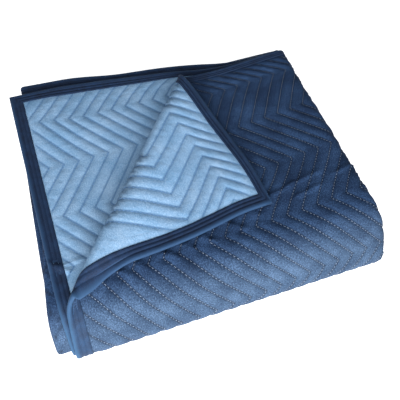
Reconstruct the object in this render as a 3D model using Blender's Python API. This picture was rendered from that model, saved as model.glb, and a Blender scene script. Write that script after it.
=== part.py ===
"""A quilted moving blanket, folded in quarters both ways, with the back-left
corner of its top layer turned over. Metres, +Z up, front towards -Y.

The cloth is laid out as one flat sheet (thread coordinates u, v), slid into
place on the pack (laid coordinates a, c) and folded: first side to side, into
four layers, and then front to back, into sixteen.
"""
import math

import bpy
import numpy as np
from mathutils import Vector, geometry

# The sheet: cut size, thickness and the pitch of its layers in the pack
SHEET_U = 2.043
SHEET_V = 1.829
CLOTH = 0.0052
PITCH = 0.0065
HALF = CLOTH / 2

# The pack: where its edges and folds lie before it is centred
LEFT_EDGE = -0.040
RIGHT_APEX = 0.467
NOSE_APEX = -0.053
BACK_EDGE = 0.125
BACK_FOLD_CENTRE = 0.0627
LOWER_BACK_EDGE = 0.062
WRAP_START = -0.322
INNER_FOLD_CENTRE = -0.312
CENTRE_X = 0.20405
CENTRE_Y = -0.14365

# The front wrap of the top layer: a wide bend, a slope and a tight bend
WRAP_TOP_RADIUS = 0.055
WRAP_TOP_TURN = math.radians(62)
WRAP_FLOOR_RADIUS = 0.027

# The corner turned over: its fold line, seen from above, and its roll
FOLD_BACK = (0.255, 0.0)
FOLD_FRONT = (-0.006, -0.337)
ROLL = 0.0100
FLAP_REST = 0.0075
FLAP_FALL = 0.085

# Quilting: zigzag lines that run front to back
LINE_SPACING = 0.025
LINE_START = 0.003
ZIG_WIDTH = 0.0715
ZIG_LENGTH = 0.0934
FIRST_PEAK = 0.080
GROOVE = 0.0011
COARSE = 8
DENSE_TOP = 0.505
DENSE_SECOND = 1.740
DENSE_END = 0.560
DENSE_MARGIN = 0.030
LINE_COUNT = math.ceil((SHEET_U + ZIG_WIDTH) / LINE_SPACING) + 1
LEG_COUNT = math.ceil(SHEET_V / ZIG_LENGTH) + 1

# Facets of the folds, by their place in SIDE_PIECES and DEPTH_PIECES, and of the corner's roll
SIDE_FACETS = 3
DEPTH_FACETS = {1: 3, 3: 4, 5: 4, 7: 4}
ROLL_FACETS = 4
FALL_FACETS = 3

# Edge binding: a woven tape folded over the edge and sewn along its middle
TAPE_WIDTH = 0.022
TAPE = 0.0009
TAPE_FACE = 0.0025
TAPE_DIP = 0.0004
FIT = 0.0003
HEM_STEP = 0.0020
HEM_HALF = TAPE_FACE - TAPE - FIT

# How the top layer lies: where each crossing of its threads comes to rest.
# u and v are measured along the cloth; x and forward are on the pack, and
# forward runs on over the front wrap.
TOP_LAY_U = (0.0, 0.060, 0.130, 0.260, 0.390, 0.490)
TOP_LAY = (
    # v, then x at each u, then the way forward at each u
    (0.000, (-0.056, 0.003, 0.072, 0.201, 0.330, 0.428), (-0.001, -0.014, -0.022, -0.029, -0.024, -0.032)),
    (0.080, (-0.046, 0.012, 0.081, 0.210, 0.338, 0.435), (0.050, 0.042, 0.038, 0.037, 0.026, 0.018)),
    (0.173, (-0.041, 0.020, 0.094, 0.222, 0.351, 0.450), (0.128, 0.122, 0.118, 0.123, 0.111, 0.102)),
    (0.267, (-0.026, 0.034, 0.103, 0.234, 0.363, 0.463), (0.242, 0.237, 0.234, 0.223, 0.208, 0.197)),
    (0.360, (-0.020, 0.031, 0.097, 0.224, 0.359, 0.463), (0.337, 0.322, 0.318, 0.311, 0.303, 0.294)),
    (0.405, (-0.026, 0.031, 0.101, 0.236, 0.366, 0.466), (0.385, 0.379, 0.375, 0.366, 0.353, 0.343)),
    (0.454, (-0.032, 0.031, 0.101, 0.243, 0.371, 0.468), (0.437, 0.433, 0.429, 0.418, 0.403, 0.392)),
    (0.525, (-0.034, 0.028, 0.099, 0.233, 0.365, 0.465), (0.508, 0.503, 0.499, 0.488, 0.473, 0.462)),
)
# Where the top layer's lay gives way to the plain one of the layers below
HOLD_U = (0.53, 0.70)
HOLD_V = (0.60, 1.00)
PLAIN_A = 0.004
PLAIN_C = 0.041
# The second layer: where its own lay begins, and how far its rows lie forward
SECOND_U = (1.46, 1.60)
SECOND_C = 0.045
SECOND_EDGE_V = (0.0, 0.07)
SECOND_HOLD_V = (0.55, 0.90)
OPEN_U = (1.93, 2.01)
# How far back its edge lies along its width
SECOND_LAY = (
    # x, back edge
    (-0.040, 0.086),
    (0.052, 0.083),
    (0.124, 0.074),
    (0.240, 0.056),
    (0.330, 0.038),
    (0.467, 0.040),
)
# Its rows of stitching drift forward and back
SECOND_ROWS = (
    # v, shift forward, and at the open edge
    (0.000, 0.000, 0.000),
    (0.080, 0.001, -0.010),
    (0.173, 0.000, 0.000),
    (0.267, 0.008, 0.008),
    (0.360, 0.006, 0.006),
    (0.550, 0.000, 0.000),
)
# The third and fourth layers stick out behind it on the left
LOWER_LAY = (
    # x, back edge
    (-0.020, 0.110),
    (0.052, 0.104),
    (0.130, 0.089),
    (0.216, 0.080),
    (0.300, 0.066),
    (0.358, 0.050),
    (0.467, 0.050),
)
LOWER_EDGE_V = (0.0, 0.30)
# How far right of NOSE_APEX their nose fold lies, from the back of the pack on
NOSE_LAY = (
    # laid c, shift in x
    (0.035, 0.034),
    (0.325, 0.016),
    (0.390, 0.005),
    (0.445, -0.002),
    (0.489, -0.006),
    (0.635, -0.007),
    (1.035, 0.010),
    (1.435, 0.012),
)
NOSE_REACH = (-0.03, 0.30)


def chain(start, pieces):
    """A path of straights and bends: one row for each, with its start, heading and curvature."""
    rows = []
    x, y = start
    heading = 0.0
    travelled = 0.0
    for length, turn in pieces:
        bend = turn / length
        rows.append((travelled, x, y, heading, bend))
        if turn == 0:
            x += length * math.cos(heading)
            y += length * math.sin(heading)
        else:
            x += (math.sin(heading + turn) - math.sin(heading)) / bend
            y -= (math.cos(heading + turn) - math.cos(heading)) / bend
        heading += turn
        travelled += length
    return np.array(rows)


def along(path, distance, offset):
    """Points at the given distances along a path, stood off its left side."""
    index = np.clip(np.searchsorted(path[:, 0], distance, side="right") - 1, 0, len(path) - 1)
    begin, x, y, heading, bend = path[index].T
    step = distance - begin
    now = heading + bend * step
    straight = np.abs(bend) < 1e-9
    safe = np.where(straight, 1.0, bend)
    px = x + np.where(straight, step * np.cos(heading), (np.sin(now) - np.sin(heading)) / safe)
    py = y + np.where(straight, step * np.sin(heading), -(np.cos(now) - np.cos(heading)) / safe)
    return px - offset * np.sin(now), py + offset * np.cos(now)


def round_bend(radius, turn):
    """One bend of a path: its length, and its turn, which is negative to the right."""
    return radius * abs(turn), turn


# Side to side: four layers, 1.5 pitches above and below the middle of the pack
SIDE_CENTRE = RIGHT_APEX - 1.5 * PITCH - HALF
NOSE_CENTRE = NOSE_APEX + 0.5 * PITCH + HALF
TOP_RUN = SIDE_CENTRE - LEFT_EDGE
INNER_RUN = SIDE_CENTRE - NOSE_CENTRE
SIDE_PIECES = (
    (TOP_RUN, 0),
    round_bend(1.5 * PITCH, -math.pi),
    (INNER_RUN, 0),
    round_bend(0.5 * PITCH, -math.pi),
    (INNER_RUN, 0),
    round_bend(0.5 * PITCH, math.pi),
    (TOP_RUN, 0),
)
SIDE_PATH = chain((LEFT_EDGE, 1.5 * PITCH), SIDE_PIECES)
SIDE_MARKS = np.concatenate(([0.0], np.cumsum([length for length, turn in SIDE_PIECES])))
SIDE_TOTAL = SIDE_MARKS[-1]
NOSE_MIDDLE = (SIDE_MARKS[3] + SIDE_MARKS[4]) / 2
# The third and fourth layers, from inside the one right fold to inside the other
LOWER_START, LOWER_END = SIDE_MARKS[2], SIDE_MARKS[5]

# Front to back: the middle of the four layers, and the outer layer's lengths
TOP_HEIGHT = HALF + 13.5 * PITCH
WRAP_SLOPE = (
    15 * PITCH
    - WRAP_TOP_RADIUS * (1 - math.cos(WRAP_TOP_TURN))
    - WRAP_FLOOR_RADIUS * (1 + math.cos(WRAP_TOP_TURN))
) / math.sin(WRAP_TOP_TURN)
FLOOR_TURN = math.pi - WRAP_TOP_TURN
FLOOR_START = (
    -WRAP_START
    + (WRAP_TOP_RADIUS - WRAP_FLOOR_RADIUS) * math.sin(WRAP_TOP_TURN)
    + WRAP_SLOPE * math.cos(WRAP_TOP_TURN)
)
DEPTH_PIECES = (
    (BACK_EDGE - WRAP_START, 0),
    round_bend(WRAP_TOP_RADIUS - 1.5 * PITCH, -WRAP_TOP_TURN),
    (WRAP_SLOPE, 0),
    round_bend(WRAP_FLOOR_RADIUS - 1.5 * PITCH, -FLOOR_TURN),
    (FLOOR_START + BACK_FOLD_CENTRE, 0),
    round_bend(2 * PITCH, -math.pi),
    (BACK_FOLD_CENTRE - INNER_FOLD_CENTRE, 0),
    round_bend(2 * PITCH, math.pi),
    (LOWER_BACK_EDGE - INNER_FOLD_CENTRE, 0),
)
DEPTH_PATH = chain((-BACK_EDGE, TOP_HEIGHT), DEPTH_PIECES)
OUTER_LENGTHS = [length for length, turn in DEPTH_PIECES]
OUTER_LENGTHS[1] = WRAP_TOP_RADIUS * WRAP_TOP_TURN
OUTER_LENGTHS[3] = WRAP_FLOOR_RADIUS * FLOOR_TURN
OUTER_MARKS = np.concatenate(([0.0], np.cumsum(OUTER_LENGTHS)))
MIDDLE_MARKS = np.concatenate(([0.0], np.cumsum([length for length, turn in DEPTH_PIECES])))


def smooth_line(knots, values, x):
    """A smooth curve through a table's values, with straight ends."""
    knots = np.asarray(knots, float)
    values = np.asarray(values, float)
    if values.ndim == 1:
        values = np.repeat(values[:, None], len(x), axis=1)
    slopes = np.gradient(values, knots, axis=0)
    i = np.clip(np.searchsorted(knots, x, side="right") - 1, 0, len(knots) - 2)
    column = np.arange(len(x))
    width = knots[i + 1] - knots[i]
    t = np.clip((x - knots[i]) / width, 0.0, 1.0)
    curve = (
        (2 * t**3 - 3 * t**2 + 1) * values[i, column]
        + (t**3 - 2 * t**2 + t) * width * slopes[i, column]
        + (3 * t**2 - 2 * t**3) * values[i + 1, column]
        + (t**3 - t**2) * width * slopes[i + 1, column]
    )
    before = np.minimum(x - knots[0], 0.0) * slopes[0]
    after = np.maximum(x - knots[-1], 0.0) * slopes[-1]
    return curve + before + after


def ease(x, start, end):
    """0 before start, 1 after end, and a smooth rise between them."""
    t = np.clip((x - start) / (end - start), 0.0, 1.0)
    return t * t * (3 - 2 * t)


def lay(u, v):
    """Slide the flat cloth into place on the pack: thread to laid coordinates."""
    u = np.asarray(u, float)
    v = np.asarray(v, float)
    places = [row[0] for row in TOP_LAY]
    v_top = np.minimum(v, places[-1])
    u_top = np.minimum(u, HOLD_U[0])
    x_rows = np.stack([smooth_line(TOP_LAY_U, row[1], u_top) for row in TOP_LAY])
    f_rows = np.stack([smooth_line(TOP_LAY_U, row[2], u_top) for row in TOP_LAY])
    x_top = smooth_line(places, x_rows, v_top)
    f_top = smooth_line(places, f_rows, v_top)
    shift_a = x_top - LEFT_EDGE - u_top
    shift_c = f_top + BACK_EDGE - v_top
    # The layers below lie straight, and their slack is taken up out of sight
    plain_a = PLAIN_A + (SIDE_TOTAL - SHEET_U - PLAIN_A) * u / SHEET_U
    plain_c = PLAIN_C + (OUTER_MARKS[-1] - SHEET_V - PLAIN_C) * v / SHEET_V
    lower_x = NOSE_CENTRE + np.abs(u + plain_a - NOSE_MIDDLE)
    lower_edge = BACK_EDGE - np.interp(lower_x, *zip(*LOWER_LAY))
    lower_c = plain_c + (lower_edge - PLAIN_C) * (1 - ease(v, *LOWER_EDGE_V))
    second_x = LEFT_EDGE + (SHEET_U - u)
    second_edge = BACK_EDGE - np.interp(second_x, *zip(*SECOND_LAY))
    past_edge = ease(v, *SECOND_EDGE_V)
    drift_v, drift, drift_open = zip(*SECOND_ROWS)
    open_side = ease(u, *OPEN_U)
    drift = np.interp(v, drift_v, drift) * (1 - open_side) + np.interp(v, drift_v, drift_open) * open_side
    rows = (SECOND_C - PLAIN_C) * past_edge * (1 - ease(v, *SECOND_HOLD_V)) + drift
    second_c = plain_c + (second_edge - PLAIN_C) * (1 - past_edge) + rows
    plain_c = lower_c + ease(u, *SECOND_U) * (second_c - lower_c)
    hold = (1 - ease(u, *HOLD_U)) * (1 - ease(v, *HOLD_V))
    return u + plain_a + hold * (shift_a - plain_a), v + plain_c + hold * (shift_c - plain_c)


def unlay(a, c):
    """The thread coordinates of laid points, found by stepping back."""
    u = np.array(a, float)
    v = np.array(c, float)
    for _ in range(STEPS_BACK):
        now_a, now_c = lay(u, v)
        u = u + a - now_a
        v = v + c - now_c
    return u, v


FOLD_LINE = np.array(FOLD_BACK)
FOLD_LENGTH = math.dist(FOLD_BACK, FOLD_FRONT)
FOLD_RUN = (np.array(FOLD_FRONT) - FOLD_LINE) / FOLD_LENGTH
FOLD_OUT = np.array((FOLD_RUN[1], -FOLD_RUN[0]))


def past_fold(a, c):
    """How far laid points lie beyond the corner's fold line."""
    return (a + LEFT_EDGE - FOLD_LINE[0]) * FOLD_OUT[0] + (BACK_EDGE - c - FOLD_LINE[1]) * FOLD_OUT[1]


def turn_corner(a, c, stand):
    """Turn the top layer's corner over its roll, and let it down on the layer below it."""
    past = past_fold(a, c)
    turned = (past > 0) & (a < TOP_RUN) & (c < OUTER_MARKS[2])
    angle = np.clip(past, 0, math.pi * ROLL) / ROLL
    beyond = np.maximum(past - math.pi * ROLL, 0.0)
    drop = (2 * ROLL - FLAP_REST) * ease(beyond, 0.0, FLAP_FALL)
    out = (ROLL - stand) * np.sin(angle) - beyond
    rise = ROLL - (ROLL - stand) * np.cos(angle) - drop
    move = np.where(turned, out - past, 0.0)
    a = a + move * FOLD_OUT[0]
    c = c - move * FOLD_OUT[1]
    return a, c, np.where(turned, rise, stand)


def fold(a, c, stand):
    """Laid points, stood off the cloth's middle towards its navy face, in the folded pack."""
    a, c, stand = turn_corner(a, c, stand)
    x, level = along(SIDE_PATH, a, stand)
    lower = (a > LOWER_START) & (a < LOWER_END)
    x = x + lower * np.interp(c, *zip(*NOSE_LAY)) * (1 - ease(x, *NOSE_REACH))
    forward, z = along(DEPTH_PATH, np.interp(c, OUTER_MARKS, MIDDLE_MARKS), level)
    return np.stack((x - CENTRE_X, -forward - CENTRE_Y, z), axis=1)


def zig(v):
    """The sideways swing of the quilting lines: 1 at each peak, -1 at each valley."""
    phase = np.abs((v - FIRST_PEAK) / ZIG_LENGTH) % 2
    return 1 - 2 * np.where(phase > 1, 2 - phase, phase)


def line_place(u, v):
    """Which quilting line a point lies on: a whole number on a line."""
    return (u - LINE_START - ZIG_WIDTH / 2 * (zig(v) - 1)) / LINE_SPACING


def quilt_depth(u, v, c):
    """How far the face is drawn in by the quilting at a point, from 0 to 1."""
    dense = (c < OUTER_MARKS[4] - ON_MARK) & ((u < DENSE_TOP) | (u > DENSE_SECOND))
    step = np.where(dense, 1.0, COARSE)
    place = line_place(u, v) / step
    return 1 - 2 * np.abs(place - np.round(place))


def side_marks():
    """Laid places of the side folds' facets."""
    marks = []
    begin = 0.0
    for length, turn in SIDE_PIECES:
        if turn:
            marks += [begin + length * k / SIDE_FACETS for k in range(SIDE_FACETS + 1)]
        begin += length
    return marks


def depth_marks():
    """Laid places of the front and back folds' facets."""
    marks = []
    for i, count in DEPTH_FACETS.items():
        marks += list(np.linspace(OUTER_MARKS[i], OUTER_MARKS[i + 1], count + 1))
    return marks


# A point this close to a fold's mark lies on it
ON_MARK = 0.0005
# Places between the tables' own where the edge lines need a point
CHANGE_U = (0.53, 0.615, 0.70, 1.46, 1.53, 1.60)
CHANGE_V = (0.60, 0.80, 1.00)
SECOND_CHANGE_V = (0.035, 0.070, 0.55, 0.725, 0.90)
MARGIN = 0.15
STEPS_BACK = 20
# The net is drawn in millimetres, and points closer than this become one
WELD = 0.05


class Net:
    """Lines drawn on the laid sheet, from which its triangles are made."""

    def __init__(self):
        self.points = []
        self.edges = []
        self.loops = []

    def draw(self, a, c):
        first = len(self.points)
        self.points += [Vector((x * 1000, y * 1000)) for x, y in zip(a, c)]
        self.edges += [(i, i + 1) for i in range(first, len(self.points) - 1)]

    def draw_threads(self, u, v):
        self.draw(*lay(np.array(u), np.array(v)))

    def rectangle(self, inset):
        """A line all round the sheet at one distance from its edge, with points where its lay turns."""
        first = len(self.edges)
        second = [SHEET_U - (x - LEFT_EDGE) for x, edge in SECOND_LAY[1:-1]]
        lower = [NOSE_MIDDLE + side * (x - NOSE_CENTRE) for x, edge in LOWER_LAY[1:-1] for side in (-1, 1)]
        far_u, far_v = SHEET_U - inset, SHEET_V - inset
        near = sorted([inset, *TOP_LAY_U[1:], *CHANGE_U, *lower, *second, far_u])
        first_side = [inset, *(row[0] for row in TOP_LAY[1:]), *CHANGE_V, far_v]
        second_side = [inset, *SECOND_CHANGE_V, far_v]
        self.draw_threads(near, [inset] * len(near))
        self.draw_threads((inset, far_u), (far_v, far_v))
        self.draw_threads([inset] * len(first_side), first_side)
        self.draw_threads([far_u] * len(second_side), second_side)
        self.loops.append(range(first, len(self.edges)))

    def folds(self):
        """The facets of every fold and of the corner's roll. Each line runs past the sheet."""
        for mark in side_marks():
            self.draw((mark, mark), (-MARGIN, OUTER_MARKS[-1] + MARGIN))
        for mark in depth_marks():
            self.draw((-MARGIN, SIDE_TOTAL + MARGIN), (mark, mark))
        steps = [math.pi * ROLL * k / ROLL_FACETS for k in range(ROLL_FACETS + 1)]
        steps += [math.pi * ROLL + FLAP_FALL * (k + 1) / FALL_FACETS for k in range(FALL_FACETS)]
        for past in steps:
            start = FOLD_LINE + FOLD_OUT * past - FOLD_RUN * MARGIN
            end = FOLD_LINE + FOLD_OUT * past + FOLD_RUN * (FOLD_LENGTH + MARGIN)
            self.draw((start[0] - LEFT_EDGE, end[0] - LEFT_EDGE), (BACK_EDGE - start[1], BACK_EDGE - end[1]))

    def zigzag(self, number, v_start, v_end, inset):
        """One quilting line, or the ridge between two, clipped to the sheet inside its binding."""
        turns = FIRST_PEAK + ZIG_LENGTH * np.arange(-1, LEG_COUNT + 1)
        vs = np.array(sorted([v_start, v_end] + [t for t in turns if v_start < t < v_end]))
        us = LINE_START + LINE_SPACING * number + ZIG_WIDTH / 2 * (zig(vs) - 1)
        low, high = inset, SHEET_U - inset
        for i in range(len(vs) - 1):
            u0, u1, v0, v1 = us[i], us[i + 1], vs[i], vs[i + 1]
            t0, t1 = 0.0, 1.0
            for edge, keep in ((low, 1), (high, -1)):
                g0, g1 = keep * (u0 - edge), keep * (u1 - edge)
                if g0 < 0 and g1 < 0:
                    t1 = -1.0
                elif g0 < 0:
                    t0 = max(t0, g0 / (g0 - g1))
                elif g1 < 0:
                    t1 = min(t1, g0 / (g0 - g1))
            if t1 > t0:
                ts = np.array((t0, t1))
                self.draw_threads(u0 + (u1 - u0) * ts, v0 + (v1 - v0) * ts)

    def triangulate(self):
        """Triangles between all the lines, with the number of loops that each face lies in."""
        made = geometry.delaunay_2d_cdt(self.points, self.edges, [], 0, WELD)
        self.flat = np.array([(p.x, p.y) for p in made[0]]) / 1000
        self.faces = np.array([f for f in made[2]])
        p, q, r = (self.flat[self.faces[:, k]] for k in range(3))
        area = (q[:, 0] - p[:, 0]) * (r[:, 1] - p[:, 1]) - (q[:, 1] - p[:, 1]) * (r[:, 0] - p[:, 0])
        self.faces[area < 0] = self.faces[area < 0][:, ::-1]
        beside = {}
        for index, f in enumerate(self.faces):
            for k in range(3):
                beside.setdefault(frozenset((f[k], f[(k + 1) % 3])), []).append(index)
        drawn = {frozenset(edge): set(origin) for edge, origin in zip(made[1], made[4])}
        self.rank = np.zeros(len(self.faces), int)
        self.on_loop = np.full(len(self.flat), -1)
        for number, loop in enumerate(self.loops):
            wall = {edge for edge, origin in drawn.items() if origin & set(loop)}
            for edge in wall:
                self.on_loop[list(edge)] = number
            inside = np.ones(len(self.faces), bool)
            ahead = [found[0] for found in beside.values() if len(found) == 1]
            inside[ahead] = False
            while ahead:
                f = self.faces[ahead[-1]]
                ahead.pop()
                for k in range(3):
                    edge = frozenset((f[k], f[(k + 1) % 3]))
                    if edge in wall:
                        continue
                    for other in beside[edge]:
                        if inside[other]:
                            inside[other] = False
                            ahead.append(other)
            self.rank += inside

    def pick(self, first, last):
        """The faces between two loops, with their points, their ranks and each point's own loop."""
        chosen = (self.rank > first) & (self.rank <= last)
        used, faces = np.unique(self.faces[chosen], return_inverse=True)
        return self.flat[used], faces.reshape(-1, 3), self.rank[chosen], self.on_loop[used]


def rim(faces):
    """The border edges of a set of triangles, in their own direction."""
    edges = {}
    for f in faces:
        for k in range(3):
            edges[(f[k], f[(k + 1) % 3])] = True
    return [e for e in edges if (e[1], e[0]) not in edges]


def make_object(name, points, faces, colour, roughness):
    mesh = bpy.data.meshes.new(name)
    mesh.from_pydata([tuple(p) for p in points], [], [tuple(int(i) for i in f) for f in faces])
    mesh.validate()
    material = bpy.data.materials.new(name + "_cloth")
    material.use_nodes = True
    shader = material.node_tree.nodes["Principled BSDF"]
    shader.inputs["Base Color"].default_value = (*colour, 1.0)
    shader.inputs["Roughness"].default_value = roughness
    shader.inputs["Metallic"].default_value = 0.0
    mesh.materials.append(material)
    thing = bpy.data.objects.new(name, mesh)
    bpy.context.scene.collection.objects.link(thing)
    return thing


HEM_IN = TAPE + FIT
TAPE_MIDDLE = TAPE_WIDTH / 2
STEP_IN = TAPE_WIDTH + FIT
BODY_IN = STEP_IN + HEM_STEP
INSETS = (0.0, TAPE, HEM_IN, TAPE_MIDDLE, TAPE_WIDTH, STEP_IN, BODY_IN)
EDGE_LOOP, TAPE_LOOP, HEM_LOOP, MIDDLE_LOOP, WIDTH_LOOP, STEP_LOOP, BODY_LOOP = range(7)


def draw_sheet():
    """The net that both pieces are made from, so that their facets lie side by side."""
    net = Net()
    net.folds()
    for inset in INSETS:
        net.rectangle(inset)
    for n in range(LINE_COUNT):
        middle = LINE_START + LINE_SPACING * n - ZIG_WIDTH / 2
        near = middle < DENSE_TOP - DENSE_MARGIN or middle > DENSE_SECOND + DENSE_MARGIN
        if near:
            net.zigzag(n, BODY_IN, DENSE_END, BODY_IN)
            net.zigzag(n + 0.5, BODY_IN, DENSE_END, BODY_IN)
        if n % COARSE == 0:
            start = DENSE_END if near else BODY_IN
            net.zigzag(n, start, SHEET_V - BODY_IN, BODY_IN)
            net.zigzag(n + COARSE / 2, start, SHEET_V - BODY_IN, BODY_IN)
    net.triangulate()
    return net


def quilted_pad(net):
    """Two cover cloths and batting quilted as one sheet: one closed solid, thinned under the tape."""
    flat, faces, rank, loop = net.pick(HEM_LOOP, len(INSETS))
    u, v = unlay(flat[:, 0], flat[:, 1])
    drawn = quilt_depth(u, v, flat[:, 1])
    body = np.zeros(len(flat), bool)
    body[faces[rank > BODY_LOOP]] = True
    half = np.where(body, HALF - GROOVE * drawn, HEM_HALF)
    on_floor = (
        (flat[:, 0] < TOP_RUN + ON_MARK)
        & (flat[:, 1] > OUTER_MARKS[4] - ON_MARK)
        & (flat[:, 1] < OUTER_MARKS[5] + ON_MARK)
    )
    navy = np.where(body & on_floor, HALF, half)
    return close_sheet("quilted_pad", flat, faces, navy, -half, (0.030, 0.060, 0.140), 0.9)


def close_sheet(name, flat, faces, navy, light, colour, roughness):
    """One closed solid between the navy side and the light side of a set of triangles."""
    count = len(flat)
    points = np.concatenate((fold(flat[:, 0], flat[:, 1], navy), fold(flat[:, 0], flat[:, 1], light)))
    # Laid c runs forward, so the triangles' own turn faces the light side
    made = [tuple(f[::-1]) for f in faces] + [tuple(i + count for i in f) for f in faces]
    for i, j in rim(faces):
        made += [(i, j, j + count), (i, j + count, i + count)]
    return make_object(name, points, made, colour, roughness)


def edge_binding(net):
    """The tape round all four edges: a channel that the thinned edge of the pad fits into."""
    flat, faces, rank, loop = net.pick(EDGE_LOOP, WIDTH_LOOP)
    count = len(flat)
    face = TAPE_FACE - TAPE_DIP * (loop == MIDDLE_LOOP)
    inner = np.full(count, TAPE_FACE - TAPE)
    stands = (face, inner, -inner, -face)
    points = np.concatenate([fold(flat[:, 0], flat[:, 1], stand) for stand in stands])
    channel = faces[rank > TAPE_LOOP]
    made = [tuple(f[::-1]) for f in faces]
    made += [tuple(i + count for i in f) for f in channel]
    made += [tuple(i + 2 * count for i in f[::-1]) for f in channel]
    made += [tuple(i + 3 * count for i in f) for f in faces]

    def wall(i, j, upper, lower):
        i0, j0, j1, i1 = i + upper * count, j + upper * count, j + lower * count, i + lower * count
        return [(i0, j0, j1), (i0, j1, i1)]

    for i, j in rim(faces):
        if loop[i] == EDGE_LOOP:
            made += wall(i, j, 0, 3)
        else:
            made += wall(i, j, 0, 1) + wall(i, j, 2, 3)
    for i, j in rim(channel):
        if loop[i] == TAPE_LOOP:
            made += [f[::-1] for f in wall(i, j, 1, 2)]
    used = sorted({i for f in made for i in f})
    index = {old: new for new, old in enumerate(used)}
    made = [tuple(index[i] for i in f) for f in made]
    return make_object("edge_binding", points[used], made, (0.008, 0.012, 0.035), 0.6)


for old in list(bpy.data.objects):
    bpy.data.objects.remove(old, do_unlink=True)

sheet_net = draw_sheet()
quilted_pad(sheet_net)
edge_binding(sheet_net)
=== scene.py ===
"""A quilted moving blanket, folded in quarters both ways, with the back-left
corner of its top layer turned over. Metres, +Z up, front towards -Y."""
import math

import bpy
import numpy as np
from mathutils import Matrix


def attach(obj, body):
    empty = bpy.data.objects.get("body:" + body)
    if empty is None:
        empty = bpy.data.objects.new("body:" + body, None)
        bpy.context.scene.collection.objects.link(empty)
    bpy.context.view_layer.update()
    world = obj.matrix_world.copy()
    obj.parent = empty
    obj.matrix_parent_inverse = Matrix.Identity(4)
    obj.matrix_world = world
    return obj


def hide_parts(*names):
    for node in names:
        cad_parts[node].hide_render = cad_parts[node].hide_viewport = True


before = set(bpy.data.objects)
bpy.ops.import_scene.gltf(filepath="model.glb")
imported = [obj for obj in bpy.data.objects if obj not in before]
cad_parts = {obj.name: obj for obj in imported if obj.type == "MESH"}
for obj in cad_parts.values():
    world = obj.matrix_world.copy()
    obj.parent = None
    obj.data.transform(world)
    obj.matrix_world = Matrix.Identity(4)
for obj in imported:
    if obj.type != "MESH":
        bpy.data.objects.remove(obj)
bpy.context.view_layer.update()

# Quilted pad
# Two cover cloths with batting, quilted by zigzag lines into one sheet. It is
# laid flat by its threads (u, v), slid into place (a, c), and folded in four twice.
SHEET_U = 2.043
SHEET_V = 1.829
CLOTH = 0.0052
PITCH = 0.0065
HALF = CLOTH / 2
LEFT_EDGE = -0.040
RIGHT_APEX = 0.467
NOSE_APEX = -0.053
BACK_EDGE = 0.125
BACK_FOLD_CENTRE = 0.0627
LOWER_BACK_EDGE = 0.062
WRAP_START = -0.322
INNER_FOLD_CENTRE = -0.312
CENTRE_X = 0.20405
CENTRE_Y = -0.14365
WRAP_TOP_RADIUS = 0.055
WRAP_TOP_TURN = math.radians(62)
WRAP_FLOOR_RADIUS = 0.027
FOLD_BACK = (0.255, 0.0)
FOLD_FRONT = (-0.006, -0.337)
ROLL = 0.0100
FLAP_REST = 0.0075
FLAP_FALL = 0.085
LINE_SPACING = 0.025
LINE_START = 0.003
ZIG_WIDTH = 0.0715
ZIG_LENGTH = 0.0934
FIRST_PEAK = 0.080
TAPE_WIDTH = 0.022
PAD_INSET = 0.0235
TOP_LAY_U = (0.0, 0.060, 0.130, 0.260, 0.390, 0.490)
TOP_LAY = (
    # v, then x at each u, then the way forward at each u
    (0.000, (-0.056, 0.003, 0.072, 0.201, 0.330, 0.428), (-0.001, -0.014, -0.022, -0.029, -0.024, -0.032)),
    (0.080, (-0.046, 0.012, 0.081, 0.210, 0.338, 0.435), (0.050, 0.042, 0.038, 0.037, 0.026, 0.018)),
    (0.173, (-0.041, 0.020, 0.094, 0.222, 0.351, 0.450), (0.128, 0.122, 0.118, 0.123, 0.111, 0.102)),
    (0.267, (-0.026, 0.034, 0.103, 0.234, 0.363, 0.463), (0.242, 0.237, 0.234, 0.223, 0.208, 0.197)),
    (0.360, (-0.029, 0.031, 0.097, 0.224, 0.359, 0.463), (0.340, 0.322, 0.318, 0.311, 0.303, 0.294)),
    (0.405, (-0.033, 0.031, 0.101, 0.236, 0.366, 0.466), (0.385, 0.379, 0.375, 0.366, 0.353, 0.343)),
    (0.454, (-0.036, 0.031, 0.101, 0.243, 0.371, 0.468), (0.437, 0.433, 0.429, 0.418, 0.403, 0.392)),
    (0.525, (-0.034, 0.028, 0.099, 0.233, 0.365, 0.465), (0.508, 0.503, 0.499, 0.488, 0.473, 0.462)),
)
HOLD_U = (0.53, 0.70)
HOLD_V = (0.60, 1.00)
PLAIN_A = 0.004
PLAIN_C = 0.041
SECOND_U = (1.46, 1.60)
SECOND_C = 0.045
SECOND_EDGE_V = (0.0, 0.07)
SECOND_HOLD_V = (0.55, 0.90)
OPEN_U = (1.93, 2.01)
SECOND_LAY = (
    # x, back edge
    (-0.040, 0.086),
    (0.052, 0.083),
    (0.124, 0.074),
    (0.240, 0.056),
    (0.330, 0.038),
    (0.467, 0.040),
)
SECOND_ROWS = (
    # v, shift forward, and at the open edge
    (0.000, 0.000, 0.000),
    (0.080, 0.001, -0.010),
    (0.173, 0.000, 0.000),
    (0.267, 0.008, 0.008),
    (0.360, 0.006, 0.006),
    (0.550, 0.000, 0.000),
)
LOWER_LAY = (
    # x, back edge
    (-0.020, 0.110),
    (0.052, 0.104),
    (0.130, 0.089),
    (0.216, 0.080),
    (0.300, 0.066),
    (0.358, 0.050),
    (0.467, 0.050),
)
LOWER_EDGE_V = (0.0, 0.30)
NOSE_LAY = (
    # laid c, shift in x
    (0.035, 0.034),
    (0.325, 0.016),
    (0.390, 0.005),
    (0.445, -0.002),
    (0.489, -0.006),
    (0.635, -0.007),
    (1.035, 0.010),
    (1.435, 0.012),
)
NOSE_REACH = (-0.03, 0.30)


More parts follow.
